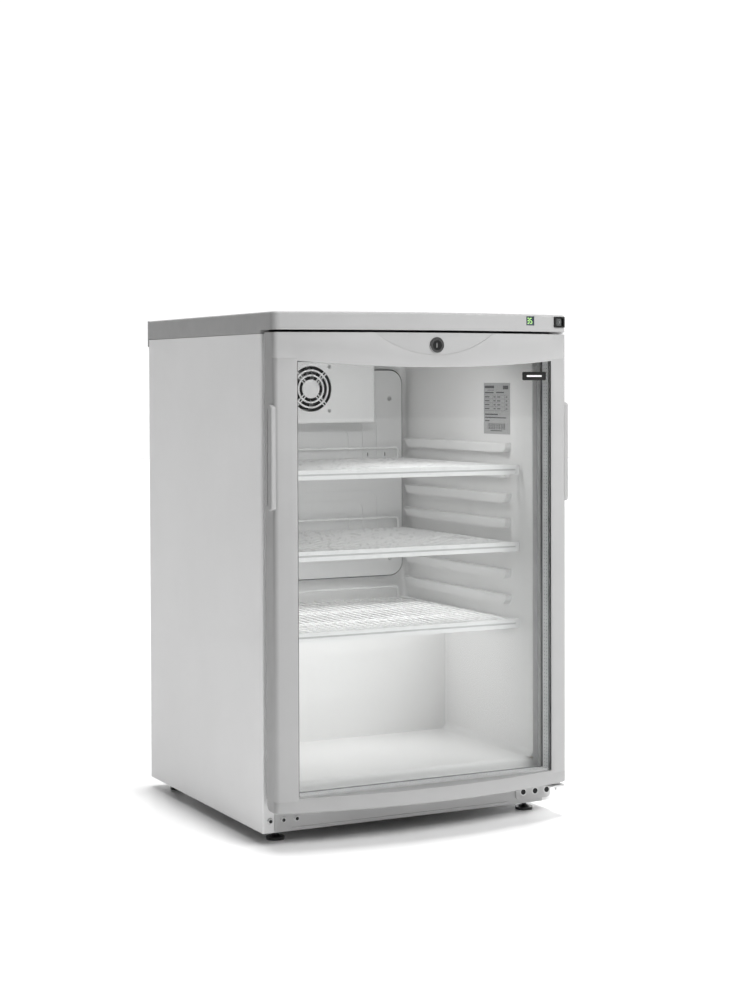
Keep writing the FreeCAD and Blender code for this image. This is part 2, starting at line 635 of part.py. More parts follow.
def fan_rotor():
    y0 = FAN_FRONT + 1
    y1 = FAN_FRONT + FAN_DEPTH - 7
    hub = rod_y(0, FAN_Z, y0, y1, ROTOR_HUB)
    blades = []
    for number in range(7):
        blade = box(ROTOR_HUB - 3, ROTOR_RADIUS, -1, 1, -9, 9)
        blade.rotate(V(0, 0, 0), V(1, 0, 0), 55)
        blade.translate(V(0, (y0 + y1) / 2, 0))
        blade.rotate(V(0, 0, 0), V(0, 1, 0), number * 360 / 7)
        blade.translate(V(0, 0, FAN_Z))
        blades.append(blade)
    sweep = rod_y(0, FAN_Z, y0, y1, ROTOR_RADIUS)
    rotor = joined([hub] + blades).common(sweep)
    return rotor.cut(rod_y(0, FAN_Z, y0 + 4, y1 + 1, 2 + RUNNING))


def light_housing():
    top = LINER_CEILING - GAP
    return rounded_box(-110, 110, 18, 58, top - 9, top, V(0, 0, 1), 6)


def light_lens():
    top = LINER_CEILING - GAP - 9
    return rounded_box(-102, 102, 23, 53, top - 5, top, V(0, 0, 1), 6)


def rating_label():
    return box(LINER_HALF - 0.5, LINER_HALF - 0.05, 73, 162, 642, 731.5)


# ---------------------------------------------------------------- compressor space
def drain_tube():
    tube_z = rod_z(0, DRAIN_Y, TRAY_Z + 8, HUMP_TOP - LINER_WALL, DRAIN_RADIUS - 0.5)
    return tube_z.cut(rod_z(0, DRAIN_Y, 100, 400, DRAIN_RADIUS - 2.5))


def drip_tray():
    x0 = COMPRESSOR_X - 60
    outer = rounded_box(x0, 30, 360, 488, TRAY_Z, TRAY_Z + 28, V(0, 0, 1), 14)
    return outer.cut(rounded_box(x0 + 2, 28, 362, 486, TRAY_Z + 2, TRAY_Z + 30, V(0, 0, 1), 12))


def compressor():
    """Hermetic compressor: welded pot with a seam, a foot plate and stub pipes."""
    low = SHELL_BOTTOM + 30
    pot = rod_z(COMPRESSOR_X, COMPRESSOR_Y, low, TRAY_Z - 6, 60)
    rims = [e for e in pot.Edges if e.Curve.TypeId == "Part::GeomCircle"]
    pot = pot.makeFillet(28, rims)
    seam = rod_z(COMPRESSOR_X, COMPRESSOR_Y, low + 80, low + 86, 63)
    feet = rounded_box(COMPRESSOR_X - 88, COMPRESSOR_X + 88, COMPRESSOR_Y - 48, COMPRESSOR_Y + 48,
                       low - 3, low + 1, V(0, 0, 1), 16)
    for x in (-76, 76):
        for y in (-36, 36):
            feet = feet.cut(rod_z(COMPRESSOR_X + x, COMPRESSOR_Y + y, low - 10, low + 10, 8))
    stubs = [rod_x(COMPRESSOR_Y + y, low + 60, COMPRESSOR_X + 50, COMPRESSOR_X + 74, 4) for y in (-14, 14)]
    return joined([pot, seam, feet] + stubs)


def compressor_mounts():
    """Rubber grommet and bolt at each corner of the foot plate."""
    low = SHELL_BOTTOM + SHEET
    shapes = []
    for x in (-76, 76):
        for y in (-36, 36):
            cx = COMPRESSOR_X + x
            cy = COMPRESSOR_Y + y
            collar = rod_z(cx, cy, low, SHELL_BOTTOM + 26.8, 11)
            neck = rod_z(cx, cy, low, SHELL_BOTTOM + 34, 7.6)
            cap = rod_z(cx, cy, SHELL_BOTTOM + 31.2, SHELL_BOTTOM + 35, 11)
            bolt = rod_z(cx, cy, SHELL_BOTTOM + 35, SHELL_BOTTOM + 40, 5)
            shapes.append(joined([collar, neck, cap, bolt]))
    return Part.makeCompound(shapes)


def relay_box():
    x = COMPRESSOR_X - 62
    return rounded_box(x - 26, x - 1.5, COMPRESSOR_Y - 22, COMPRESSOR_Y + 22, 80, 134, V(1, 0, 0), 5)


def condenser_coil():
    """Two layers of a folded steel pipe with cross wires welded on."""
    shapes = []
    for y in (392.0, 452.0):
        points = []
        for row in range(COIL_ROWS):
            z = COIL_LOW + row * COIL_PITCH
            ends = COIL_X if row % 2 == 0 else COIL_X[::-1]
            points += [(ends[0], y, z), (ends[1], y, z)]
        shapes.append(tube(points, 2.6, COIL_PITCH / 2 - 0.5))
        top = COIL_LOW + (COIL_ROWS - 1) * COIL_PITCH + 8
        for number in range(12):
            x = COIL_X[0] + 20 + number * 13
            shapes.append(rod_z(x, y + 3.4, COIL_LOW - 8, top, 0.9))
    first = joined(shapes[:len(shapes) // 2])
    second = joined(shapes[len(shapes) // 2:])
    return Part.makeCompound([first, second])


def coil_brackets():
    """Two sheet strips that hold the coils to the base."""
    shapes = []
    for x in (70.0, 195.0):
        strip = box(x - 6, x + 6, 398.5, 446, SHELL_BOTTOM + SHEET, SHELL_BOTTOM + 3)
        fronts = box(x - 6, x + 6, 396.8, 398.5, SHELL_BOTTOM + SHEET, 180)
        backs = box(x - 6, x + 6, 446, 447.7, SHELL_BOTTOM + SHEET, 180)
        shapes.append(joined([strip, fronts, backs]))
    return Part.makeCompound(shapes)


def filter_dryer():
    body = rod_z(12, 470, 90, 160, 9)
    rims = [e for e in body.Edges if e.Curve.TypeId == "Part::GeomCircle"]
    return body.makeFillet(5, rims)


def refrigerant_pipes():
    """Suction and discharge pipes and the capillary, along the compressor space."""
    x = COMPRESSOR_X + 74.2
    z = SHELL_BOTTOM + 90
    discharge = tube([(x, COMPRESSOR_Y - 14, z), (-6, COMPRESSOR_Y - 14, z), (-6, 372, z),
                      (20, 372, z), (20, 372, COIL_LOW), (20, 392, COIL_LOW), (39.5, 392, COIL_LOW)], 3, 7)
    suction = tube([(x, COMPRESSOR_Y + 14, z), (-14, COMPRESSOR_Y + 14, z), (-14, 488, z),
                    (-14, 488, 180), (120, 488, 180), (120, 488, BAY_TOP - SHEET - 0.5)], 3.5, 9)
    capillary = tube([(12, 470, 160.5), (12, 470, 172), (180, 470, 230), (180, 470, BAY_TOP - SHEET - 0.5)],
                     1.5, 6)
    return Part.makeCompound([discharge, suction, capillary])


def power_inlet():
    """Round gland in the bay's side where a mains lead would enter."""
    flange = rod_y(-235, 70, SHELL_DEPTH - 6, SHELL_DEPTH - 2, 13)
    barrel = rod_y(-235, 70, SHELL_DEPTH - 24, SHELL_DEPTH + 2, 9)
    plate = box(-266, -212, SHELL_DEPTH - 8, SHELL_DEPTH - 6, 42, 96)
    return joined([plate, flange, barrel]).cut(rod_y(-235, 70, SHELL_DEPTH - 30, SHELL_DEPTH + 10, 4))


# ---------------------------------------------------------------- shelves, feet
def shelf_grid(rod_level, wire_level):
    """Side rods and cross rods with the wires welded on top."""
    side = SHELF_HALF - SIDE_ROD
    rear_rod = SHELF_REAR - SIDE_ROD
    wires_from = SHELF_FRONT + BAND_DEPTH + 0.05
    rods_from = SHELF_FRONT + BAND_CAP_DEPTH
    shapes = [rod_y(x, rod_level, rods_from, SHELF_REAR, SIDE_ROD) for x in (-side, side)]
    for y in (SHELF_FRONT + 14, 165.0, 300.0, rear_rod):
        shapes.append(rod_x(y, rod_level, -side, side, CROSS_ROD))
    count = int(2 * side / WIRE_PITCH)
    start = -(count - 1) * WIRE_PITCH / 2
    for number in range(count):
        x = start + number * WIRE_PITCH
        shapes.append(rod_y(x, wire_level, wires_from, rear_rod + 1, WIRE))
    return joined(shapes)


def shelf_band(top):
    """Grooved plastic band with an end cap at each side, pushed on the front of the wires."""
    low = top - BAND_HEIGHT
    band = box(-BAND_HALF, BAND_HALF, SHELF_FRONT, SHELF_FRONT + BAND_DEPTH, low, top)
    groove = box(-BAND_HALF - 1, BAND_HALF + 1, SHELF_FRONT - 1, SHELF_FRONT + 1, top - 9.4, top - 6.4)
    caps = []
    for x in (-BAND_HALF, BAND_HALF):
        caps.append(rounded_box(x - 3.5, x + 3.5, SHELF_FRONT - 0.6, SHELF_FRONT + BAND_CAP_DEPTH - 0.1,
                                low - 0.3, top + 0.3, V(0, 1, 0), 3))
    return joined([band.cut(groove)] + caps)


def shelf_rail(rod_level, top):
    """Bent wire that stands on the rear rod and stops packs at the back."""
    rear_rod = SHELF_REAR - SIDE_ROD
    foot_z = rod_level + CROSS_ROD + 0.02
    rail_top = top + UPSTAND - RAIL
    places = [(-RAIL_HALF, foot_z), (-RAIL_HALF, rail_top), (RAIL_HALF, rail_top), (RAIL_HALF, foot_z)]
    return tube([(x, rear_rod, z) for x, z in places], RAIL, 7)


def shelf(runner_number):
    """Welded wire shelf with its front band and rear rail."""
    rod_level = RUNNER_TOP - runner_number * RUNNER_PITCH + SHELF_LIFT + SIDE_ROD
    wire_level = rod_level + CROSS_ROD + WIRE * 0.6
    top = wire_level + WIRE + 0.4
    return Part.makeCompound([shelf_grid(rod_level, wire_level), shelf_band(top), shelf_rail(rod_level, top)])


def foot(x, y):
    pad = rod_z(x, y, 0, 4.5, FOOT_RADIUS)
    cone = Part.makeCone(11, 6, 3.5, V(x, y, 4.5), V(0, 0, 1))
    stud = rod_z(x, y, 7, 42, STUD)
    return joined([pad, cone, stud])


# ---------------------------------------------------------------- door
def door_block():
    """Whole frame of the door: bowed block with the glass opening and rebates cut out."""
    block = bowed_prism(DOOR_HALF, DOOR_REAR, 0, DOOR_BOTTOM, DOOR_TOP, DOOR_CORNER)
    y_front = OUTER_GLASS[0] - 0.3
    z0 = OPENING_BOTTOM
    low = V(-OPENING_HALF, -100, z0)
    left = V(-OPENING_HALF, -100, OPENING_TOP)
    right = V(OPENING_HALF, -100, OPENING_TOP)
    sides = Part.makePolygon([left, low, V(OPENING_HALF, -100, z0), right])
    arch = Part.Arc(right, V(0, -100, OPENING_TOP - HEADER_SAG), left).toShape()
    opening = Part.Face(Part.Wire(sides.Edges + [arch])).extrude(V(0, 120, 0))
    rear_half = OPENING_HALF
    opening = opening.fuse(box(-rear_half, rear_half, INNER_GLASS[1], 0, z0, REAR_LIP_TOP))
    rebate = box(-GLASS_HALF - 0.3, GLASS_HALF + 0.3, y_front, INNER_GLASS[1] + 0.3,
                 GLASS_BOTTOM - 0.3, GLASS_TOP + 0.3)
    return block.cut(opening).cut(rebate)


def door_slice(z0, z1, x0=-HALF - 1, x1=HALF + 1):
    return door_block().common(box(x0, x1, -100, 0, z0, z1))


def lock_inset_shape(half_extra, outer, inner):
    """Segment of a disc at the middle of the header, between two depths under its face."""
    centre = LOCK_INSET_LOW + LOCK_INSET_RADIUS
    disc = rod_y(0, centre, -120, 0, LOCK_INSET_RADIUS + half_extra)
    return skin(DOOR_HALF - 60, LOCK_INSET_LOW - 5, DOOR_TOP + 1, outer, inner).common(disc)


def door_header():
    shape = door_slice(HEADER_JOINT, DOOR_TOP)
    drop = door_block().common(box(-OPENING_HALF, OPENING_HALF, -100, 0, OPENING_TOP - 20, HEADER_JOINT))
    shape = joined([shape, drop])
    shape = shape.cut(lock_inset_shape(0.25, -5, 2))
    shape = shape.cut(rod_y(0, LOCK_Z, -100, CAM_Y[0] - 3, LOCK_SLEEVE + 0.05))
    shape = shape.cut(box(-10, 34, CAM_Y[0] - 3.5, CAM_Y[1] + 3, LOCK_Z - 10, DOOR_TOP + 1))
    return shape.cut(rod_z(HINGE_X, HINGE_Y, DOOR_TOP - 13, DOOR_TOP + 1, BUSH_OUTER + 0.05))


def door_bottom_rail():
    shape = door_slice(DOOR_BOTTOM, RAIL_JOINT)
    ledge = door_block().common(box(-OPENING_HALF, OPENING_HALF, -100, 0, RAIL_JOINT, OPENING_BOTTOM))
    shape = joined([shape, ledge])
    shape = shape.makeFillet(RAIL_REAR_ROUND, edges_along(shape, V(1, 0, 0), [V(0, DOOR_REAR, DOOR_BOTTOM)]))
    low_edges = [e for e in shape.Edges if max(v.Z for v in e.Vertexes) < DOOR_BOTTOM + 0.01]
    rear_y = DOOR_REAR - RAIL_REAR_ROUND - 0.1
    low_edges = [e for e in low_edges if min(v.Y for v in e.Vertexes) < rear_y]
    shape = shape.makeFillet(RAIL_LOW_ROUND, low_edges)
    return shape.cut(rod_z(HINGE_X, HINGE_Y, DOOR_BOTTOM - 1, DOOR_BOTTOM + 13, BUSH_OUTER + 0.05))


def grip_cut():
    """Recess in the side of a stile that holds the grip."""
    z0, z1 = GRIP_Z
    return rounded_box(GRIP_FLOOR, HALF + 9, -45, -21, z0 + 3, z1 - 3, V(1, 0, 0), 9)


def door_stile():
    """Right-hand stile."""
    shape = door_slice(RAIL_JOINT, HEADER_JOINT, OPENING_HALF, HALF + 1)
    return shape.cut(grip_cut())


def door_handle():
    """Grip shell in the stile's side: a back wall, and a ridge that the fingers pull on."""
    z0, z1 = GRIP_Z
    low = z0 + 3.2
    high = z1 - 3.2
    shell = rounded_box(GRIP_FLOOR + 0.2, DOOR_HALF + 0.6, -44.8, -21.2, low, high, V(1, 0, 0), 8.8)
    hollow = rounded_box(GRIP_FLOOR + 2.2, HALF + 9, -33, -22.7, z0 + 4.8, z1 - 4.8, V(1, 0, 0), 5)
    ridge = rounded_box(DOOR_HALF - 3, 274, -47.5, -33, z0, z1, V(1, 0, 0), 6.5)
    front = edges_along(ridge, V(0, 0, 1), [V(274, -47.5, 0), V(274, -33, 0)])
    ridge = ridge.makeFillet(3, front)
    stile = bowed_prism(DOOR_HALF + 0.05, DOOR_REAR, -0.05, z0 - 5, z1 + 5, DOOR_CORNER)
    ridge = ridge.cut(stile.cut(grip_cut()))
    return joined([shell.cut(hollow), ridge.cut(hollow)])


def door_lock_inset():
    shape = lock_inset_shape(0, 0.7, 2)
    shape = shape.common(box(-200, 200, -100, 0, 700, DOOR_TOP))
    return shape.cut(rod_y(0, LOCK_Z, -100, 0, LOCK_SLEEVE + 0.05))


def pane(y_span):
    return box(-GLASS_HALF, GLASS_HALF, y_span[0], y_span[1], GLASS_BOTTOM, GLASS_TOP)


def glass_spacer():
    """Hollow metal bar round the gap between the panes, with its drying holes towards the gap."""
    outer = (GLASS_HALF, GLASS_BOTTOM, GLASS_TOP)
    inner = (GLASS_HALF - SPACER_WIDTH, GLASS_BOTTOM + 12, GLASS_TOP - SPACER_WIDTH)
    return ring_plate(outer, inner, OUTER_GLASS[1], INNER_GLASS[0])


def door_gasket():
    """Magnetic bellows seal on the back of the door."""
    rings = []
    for y0, y1, slim in ((DOOR_REAR, -8.5, 0), (-8.5, -5.5, 2.5), (-5.5, -0.8, 0)):
        outer = (258 - slim, 66 + slim, 803 - slim)
        inner = (242 + slim, 81 - slim, 789 + slim)
        rings.append(ring_plate(outer, inner, y0, y1))
    return joined(rings)


def lock_bezel():
    face = BOW_TIP_Y + 0.7
    flange = rod_y(0, LOCK_Z, FRONT_Y, face, LOCK_RING)
    sleeve = rod_y(0, LOCK_Z, face - 0.5, CAM_Y[0] - 3, LOCK_SLEEVE)
    circles = [e for e in flange.Edges if e.Curve.TypeId == "Part::GeomCircle"]
    rims = [e for e in circles if e.Vertexes[0].Y < FRONT_Y + 0.1]
    flange = flange.makeFillet(1.0, rims)
    return joined([flange, sleeve]).cut(rod_y(0, LOCK_Z, -100, 0, LOCK_PLUG + RUNNING))


def lock_plug():
    face = FRONT_Y + 0.6
    plug = rod_y(0, LOCK_Z, face, CAM_Y[0], LOCK_PLUG)
    return plug.cut(box(-1.1, 1.1, face - 1, face + 12, LOCK_Z - 4, LOCK_Z + 4))


def lock_cam():
    """Flat cam, drawn lying towards the hinge side, unlocked."""
    y0, y1 = CAM_Y
    bar = box(0, CAM_REACH - CAM_HALF, y0, y1, LOCK_Z - CAM_HALF, LOCK_Z + CAM_HALF)
    hub = rod_y(0, LOCK_Z, y0, y1, 7.5)
    tip = rod_y(CAM_REACH - CAM_HALF, LOCK_Z, y0, y1, CAM_HALF)
    nut = rod_y(0, LOCK_Z, y1, y1 + 2, 5)
    return joined([bar, hub, tip, nut])


def door_hinge_bushes():
    shapes = []
    for z0, z1 in ((DOOR_BOTTOM, DOOR_BOTTOM + 12.5), (DOOR_TOP - 12.5, DOOR_TOP)):
        bush = rod_z(HINGE_X, HINGE_Y, z0, z1, BUSH_OUTER)
        shapes.append(bush.cut(rod_z(HINGE_X, HINGE_Y, z0 - 1, z1 + 1, HINGE_PIN + RUNNING)))
    return Part.makeCompound(shapes)


def badge_plate():
    y = OUTER_GLASS[0]
    return rounded_box(179, 224.5, y - 0.8, y, 736, 750, V(0, 1, 0), 2)


# ---------------------------------------------------------------- write every sub-part
os.makedirs("parts", exist_ok=True)

PAIRS = {
    "side_panel": side_panel,
    "door_stile": door_stile,
    "door_handle": door_handle,
}
for name, make in PAIRS.items():
    right_hand = make()
    save(name + "_right", right_hand)
    save(name + "_left", mirrored(right_hand))

SINGLES = (
    rear_panel, compressor_bay, inner_liner, foam_insulation, plinth, base_tray, worktop_frame,
    worktop_panel, display_window, thermostat_controller, switch_bezel, switch_rocker,
    bottom_hinge_bracket, bottom_hinge_pin, top_hinge_bracket, front_screws, evaporator_plate,
    interior_screws, temperature_probe, fan_housing, fan_frame, fan_rotor, light_housing, light_lens,
    rating_label, drain_tube, drip_tray, compressor, compressor_mounts, relay_box, condenser_coil,
    coil_brackets, filter_dryer, refrigerant_pipes, power_inlet, door_header, door_bottom_rail,
    door_lock_inset, glass_spacer, door_gasket, lock_bezel, lock_plug, lock_cam, door_hinge_bushes,
    badge_plate,
)
for make in SINGLES:
    save(make.__name__, make())

save("outer_glass", pane(OUTER_GLASS))
save("inner_glass", pane(INNER_GLASS))
for number, runner_number in enumerate(SHELF_RUNNERS, 1):
    save("shelf_%d" % number, shelf(runner_number))
for side, x in (("left", -FOOT_X), ("right", FOOT_X)):
    for end, y in (("front", FOOT_FRONT_Y), ("rear", FOOT_REAR_Y)):
        save("foot_%s_%s" % (end, side), foot(x, y))
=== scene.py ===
"""Looks of the under counter display fridge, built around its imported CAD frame.

Metres, +Z up, the door towards -Y, the hinge side towards +X.
"""

import json
import math

import bmesh
import bpy
from mathutils import Matrix, Vector


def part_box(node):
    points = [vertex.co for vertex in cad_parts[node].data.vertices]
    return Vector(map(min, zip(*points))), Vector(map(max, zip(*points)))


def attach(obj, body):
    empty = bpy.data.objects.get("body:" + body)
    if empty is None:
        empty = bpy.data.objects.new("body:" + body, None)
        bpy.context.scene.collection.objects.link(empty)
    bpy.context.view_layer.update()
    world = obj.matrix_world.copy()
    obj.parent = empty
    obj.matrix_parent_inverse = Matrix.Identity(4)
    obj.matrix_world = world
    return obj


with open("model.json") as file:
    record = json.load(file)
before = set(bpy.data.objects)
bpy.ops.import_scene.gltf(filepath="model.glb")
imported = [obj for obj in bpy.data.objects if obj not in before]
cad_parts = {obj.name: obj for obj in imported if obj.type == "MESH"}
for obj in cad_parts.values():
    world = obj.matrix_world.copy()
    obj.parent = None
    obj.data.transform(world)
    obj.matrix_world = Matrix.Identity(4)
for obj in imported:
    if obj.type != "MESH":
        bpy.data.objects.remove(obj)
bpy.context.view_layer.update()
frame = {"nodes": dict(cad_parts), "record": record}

NODES = frame["nodes"]
SLOT_OF = {part["node"]: part["material_slot"] for part in frame["record"]["subparts"]}


# ---------------------------------------------------------------- camera
CAMERA_AT = (-1.4876, -2.9893, 0.7381)
CAMERA_YAW = 26.9
CAMERA_DOWN = 1.3
CAMERA_ROLL = -0.2
CAMERA_LENS = 69.1
CAMERA_SHIFT = -0.0769


def make_camera():
    data = bpy.data.cameras.new("camera")
    data.lens = CAMERA_LENS
    data.shift_y = CAMERA_SHIFT
    data.clip_start = 0.05
    data.clip_end = 60
    camera = bpy.data.objects.new("camera", data)
    turn = Matrix.Rotation(math.radians(-CAMERA_YAW), 4, "Z")
    tip = Matrix.Rotation(math.radians(90 - CAMERA_DOWN), 4, "X")
    roll = Matrix.Rotation(math.radians(CAMERA_ROLL), 4, "Z")
    camera.matrix_world = Matrix.Translation(CAMERA_AT) @ turn @ tip @ roll
    bpy.context.scene.collection.objects.link(camera)
    bpy.context.scene.camera = camera


# ---------------------------------------------------------------- light and floor
WORLD_STRENGTH = 0.25
BACKDROP_STRENGTH = 1.05
SUN_STRENGTH = 2.4
SUN_ANGLE = 6.0
FRONT_POWER = 195
FRONT_HEIGHT = 3.2
LOWER_POWER = 0.4
CABIN_POWER = 0.46


def area_light(name, place, target, size, power):
    """Soft rectangular light that neither the camera nor a reflection sees."""
    data = bpy.data.lights.new(name, "AREA")
    data.shape = "RECTANGLE"
    data.size, data.size_y = size
    data.energy = power
    lamp = bpy.data.objects.new(name, data)
    lamp.location = place
    lamp.rotation_euler = (Vector(target) - Vector(place)).to_track_quat("-Z", "Y").to_euler()
    lamp.visible_camera = False
    lamp.visible_glossy = False
    bpy.context.scene.collection.objects.link(lamp)


def card(name, size, place, target, material):
    """Flat card that shapes the light, kept out of the camera's sight unless the caller shows it."""
    mesh = bpy.data.meshes.new(name)
    w, h = size[0] / 2, size[1] / 2
    mesh.from_pydata([(-w, -h, 0), (w, -h, 0), (w, h, 0), (-w, h, 0)], [], [(0, 1, 2, 3)])
    mesh.materials.append(material)
    board = bpy.data.objects.new(name, mesh)
    board.location = place
    board.rotation_euler = (Vector(target) - Vector(place)).to_track_quat("Z", "Y").to_euler()
    board.visible_camera = False
    bpy.context.scene.collection.objects.link(board)
    return board


def overhead_sun():
    """Wide sun almost straight above, for a soft shadow close under the cabinet."""
    data = bpy.data.lights.new("overhead", "SUN")
    data.energy = SUN_STRENGTH
    data.angle = math.radians(SUN_ANGLE)
    lamp = bpy.data.objects.new("overhead", data)
    lamp.rotation_euler = (math.radians(-1.5), math.radians(1.5), 0)
    bpy.context.scene.collection.objects.link(lamp)


def make_studio(floor_material, shade_material, backdrop_material):
    scene = bpy.context.scene
    scene.view_settings.view_transform = "Standard"
    world = bpy.data.worlds.new("studio")
    scene.world = world
    world.use_nodes = True
    background = world.node_tree.nodes["Background"]
    background.inputs["Color"].default_value = (1, 1, 1, 1)
    background.inputs["Strength"].default_value = WORLD_STRENGTH

    mesh = bpy.data.meshes.new("floor")
    reach = 30
    mesh.from_pydata([(-reach, -reach, 0), (reach, -reach, 0), (reach, reach, 0), (-reach, reach, 0)],
                     [], [(0, 1, 2, 3)])
    mesh.materials.append(floor_material)
    floor = bpy.data.objects.new("floor", mesh)
    scene.collection.objects.link(floor)

    middle = (0, 0, 0.45)
    card("shade_card", (3.4, 2.4), (-2.05, 0.8, 1.15), middle, shade_material)
    card("backdrop", (60, 40), (7, 13, 0), (-1.5, -3.0, 0.7), backdrop_material).visible_camera = True
    overhead_sun()
    area_light("front_light", (1.5, -3.6, FRONT_HEIGHT), middle, (2.6, 1.6), FRONT_POWER)
    area_light("cabin_light", (0, -0.15, 0.765), (0, 0.05, 0.3), (0.2, 0.04), CABIN_POWER)
    area_light("lower_light", (0, 0, 0.335), (0, -0.02, 0), (0.40, 0.30), LOWER_POWER)


# ---------------------------------------------------------------- material helpers
class Nodes:
    """Small helper for one procedural material."""

    def __init__(self, name, **values):
        self.material = bpy.data.materials.new(name)
        self.material.use_nodes = True
        self.tree = self.material.node_tree
        self.shader = self.tree.nodes["Principled BSDF"]
        self.output = self.tree.nodes["Material Output"]
        for key, value in values.items():
            self.shader.inputs[SOCKETS[key]].default_value = value

    def add(self, kind, **settings):
        node = self.tree.nodes.new(kind)
        for key, value in settings.items():
            if key in node.inputs:
                node.inputs[key].default_value = value
            else:
                setattr(node, key, value)
        return node

    def link(self, source, target):
        self.tree.links.new(source, target)

    def coords(self, scale=(1, 1, 1)):
        where = self.add("ShaderNodeTexCoord")
        mapping = self.add("ShaderNodeMapping")
        mapping.inputs["Scale"].default_value = scale
        self.link(where.outputs["Object"], mapping.inputs["Vector"])
        return mapping.outputs["Vector"]

    def noise(self, size, detail=3.0, stretch=(1, 1, 1)):
        """Noise whose cells are about size metres across."""
        node = self.add("ShaderNodeTexNoise", Scale=1 / size, Detail=detail)
        self.link(self.coords(stretch), node.inputs["Vector"])
        return node.outputs["Fac"]

    def ramp(self, source, low, high, start=0.3, end=0.7):
        node = self.add("ShaderNodeValToRGB")
        node.color_ramp.elements[0].position = start
        node.color_ramp.elements[1].position = end
        node.color_ramp.elements[0].color = tuple(low) + (1,)
        node.color_ramp.elements[1].color = tuple(high) + (1,)
        self.link(source, node.inputs["Fac"])
        return node.outputs["Color"]

    def spread(self, source, low, high):
        node = self.add("ShaderNodeMapRange")
        node.inputs["From Min"].default_value = 0.3
        node.inputs["From Max"].default_value = 0.7
        node.inputs["To Min"].default_value = low
        node.inputs["To Max"].default_value = high
        self.link(source, node.inputs["Value"])
        return node.outputs["Result"]

    def bump(self, source, depth, strength=1.0, after=None):
        node = self.add("ShaderNodeBump", Strength=strength, Distance=depth)
        self.link(source, node.inputs["Height"])
        if after is not None:
            self.link(after, node.inputs["Normal"])
        return node.outputs["Normal"]


SOCKETS = {
    "rough": "Roughness",
    "metal": "Metallic",
    "coat": "Coat Weight",
    "specular": "Specular IOR Level",
    "glow": "Emission Strength",
    "glow_color": "Emission Color",
}


def grey(value, warm=0.0):
    return (value * (1 + warm), value, value * (1 - warm))


def finish(name, base, rough, tone=0.03, tone_size=0.12, grain=0.0012, depth=0.00002,
           rough_spread=0.06, **more):
    """Common finish: slow tone change, finer roughness change and a small surface grain."""
    made = Nodes(name, **more)
    low = tuple(c * (1 - tone) for c in base)
    high = tuple(min(1, c * (1 + tone)) for c in base)
    made.link(made.ramp(made.noise(tone_size, 4), low, high), made.shader.inputs["Base Color"])
    rough_source = made.noise(tone_size / 5, 5)
    made.link(made.spread(rough_source, rough - rough_spread, rough + rough_spread),
              made.shader.inputs["Roughness"])
    made.link(made.bump(made.noise(grain, 2), depth), made.shader.inputs["Normal"])
    return made


# ---------------------------------------------------------------- materials
def white_steel():
    made = finish("white_steel", grey(0.80), 0.34, tone=0.015, grain=0.0022, depth=0.000025, coat=0.25)
    return made.material


def silver_plastic():
    made = finish("silver_plastic", grey(0.355), 0.40, tone=0.03, grain=0.0007, depth=0.000018)
    return made.material


def white_liner():
    return finish("white_liner", grey(0.83, 0.005), 0.34, tone=0.008, grain=0.003, depth=0.0000012).material


def white_laminate():
    return finish("white_laminate", grey(0.74), 0.3, tone=0.01, grain=0.0009, depth=0.00001).material


def white_plastic():
    return finish("white_plastic", grey(0.80), 0.38, tone=0.012, grain=0.0009, depth=0.000012).material


def evaporator_white():
    return finish("evaporator_white", grey(0.72), 0.42, tone=0.03, grain=0.002, depth=0.00003).material


def white_wire():
    return finish("white_wire", grey(0.86), 0.3, tone=0.015, grain=0.0015, depth=0.00002, coat=0.3).material


def white_gasket():
    return finish("white_gasket", grey(0.86), 0.55, tone=0.03, grain=0.0006, depth=0.00001).material


def light_bracket():
    return finish("light_bracket", grey(0.55), 0.45, tone=0.04, grain=0.0012, depth=0.00002).material


def galvanised():
    made = Nodes("galvanised", metal=1.0)
    cells = made.add("ShaderNodeTexVoronoi", Scale=90)
    made.link(made.coords(), cells.inputs["Vector"])
    spangle = cells.outputs["Color"]
    value = made.add("ShaderNodeSeparateColor")
    made.link(spangle, value.inputs["Color"])
    made.link(made.ramp(value.outputs["Red"], grey(0.50), grey(0.68), 0, 1), made.shader.inputs["Base Color"])
    made.link(made.spread(value.outputs["Green"], 0.34, 0.46), made.shader.inputs["Roughness"])
    return made.material


def zinc_steel():
    return finish("zinc_steel", grey(0.62), 0.3, tone=0.08, tone_size=0.004, grain=0.0004, depth=0.000006,
                  metal=1.0).material


def chrome():
    return finish("chrome", grey(0.30), 0.12, tone=0.02, tone_size=0.01, grain=0.0004, depth=0.000001,
                  rough_spread=0.03, metal=1.0).material


def spacer_aluminium():
    return finish("spacer_aluminium", grey(0.88), 0.45, tone=0.05, tone_size=0.02, grain=0.0008,
                  depth=0.00001, metal=0.1).material


def black_plastic():
    return finish("black_plastic", grey(0.012), 0.5, specular=0.25, tone=0.2, tone_size=0.02, grain=0.0006,
                  depth=0.00002).material


def black_rubber():
    return finish("black_rubber", grey(0.015), 0.32, tone=0.2, tone_size=0.02, grain=0.0008,
                  depth=0.00002, coat=0.4).material


def compressor_black():
    return finish("compressor_black", grey(0.018), 0.3, tone=0.2, tone_size=0.03, grain=0.002, depth=0.00005,
                  coat=0.4).material


def dark_window():
    return finish("dark_window", (0.03, 0.045, 0.055), 0.12, tone=0.1, tone_size=0.01, grain=0.002,
                  depth=0.000002, rough_spread=0.02, coat=0.5).material


def grey_rocker():
    return finish("grey_rocker", (0.085, 0.09, 0.09), 0.3, tone=0.06, tone_size=0.01, grain=0.0008,
                  depth=0.00001).material


def lamp_lens():
    made = finish("lamp_lens", grey(0.9), 0.4, tone=0.01, grain=0.002, depth=0.00001, glow=1.2,
                  glow_color=(1, 0.99, 0.96, 1))
    return made.material


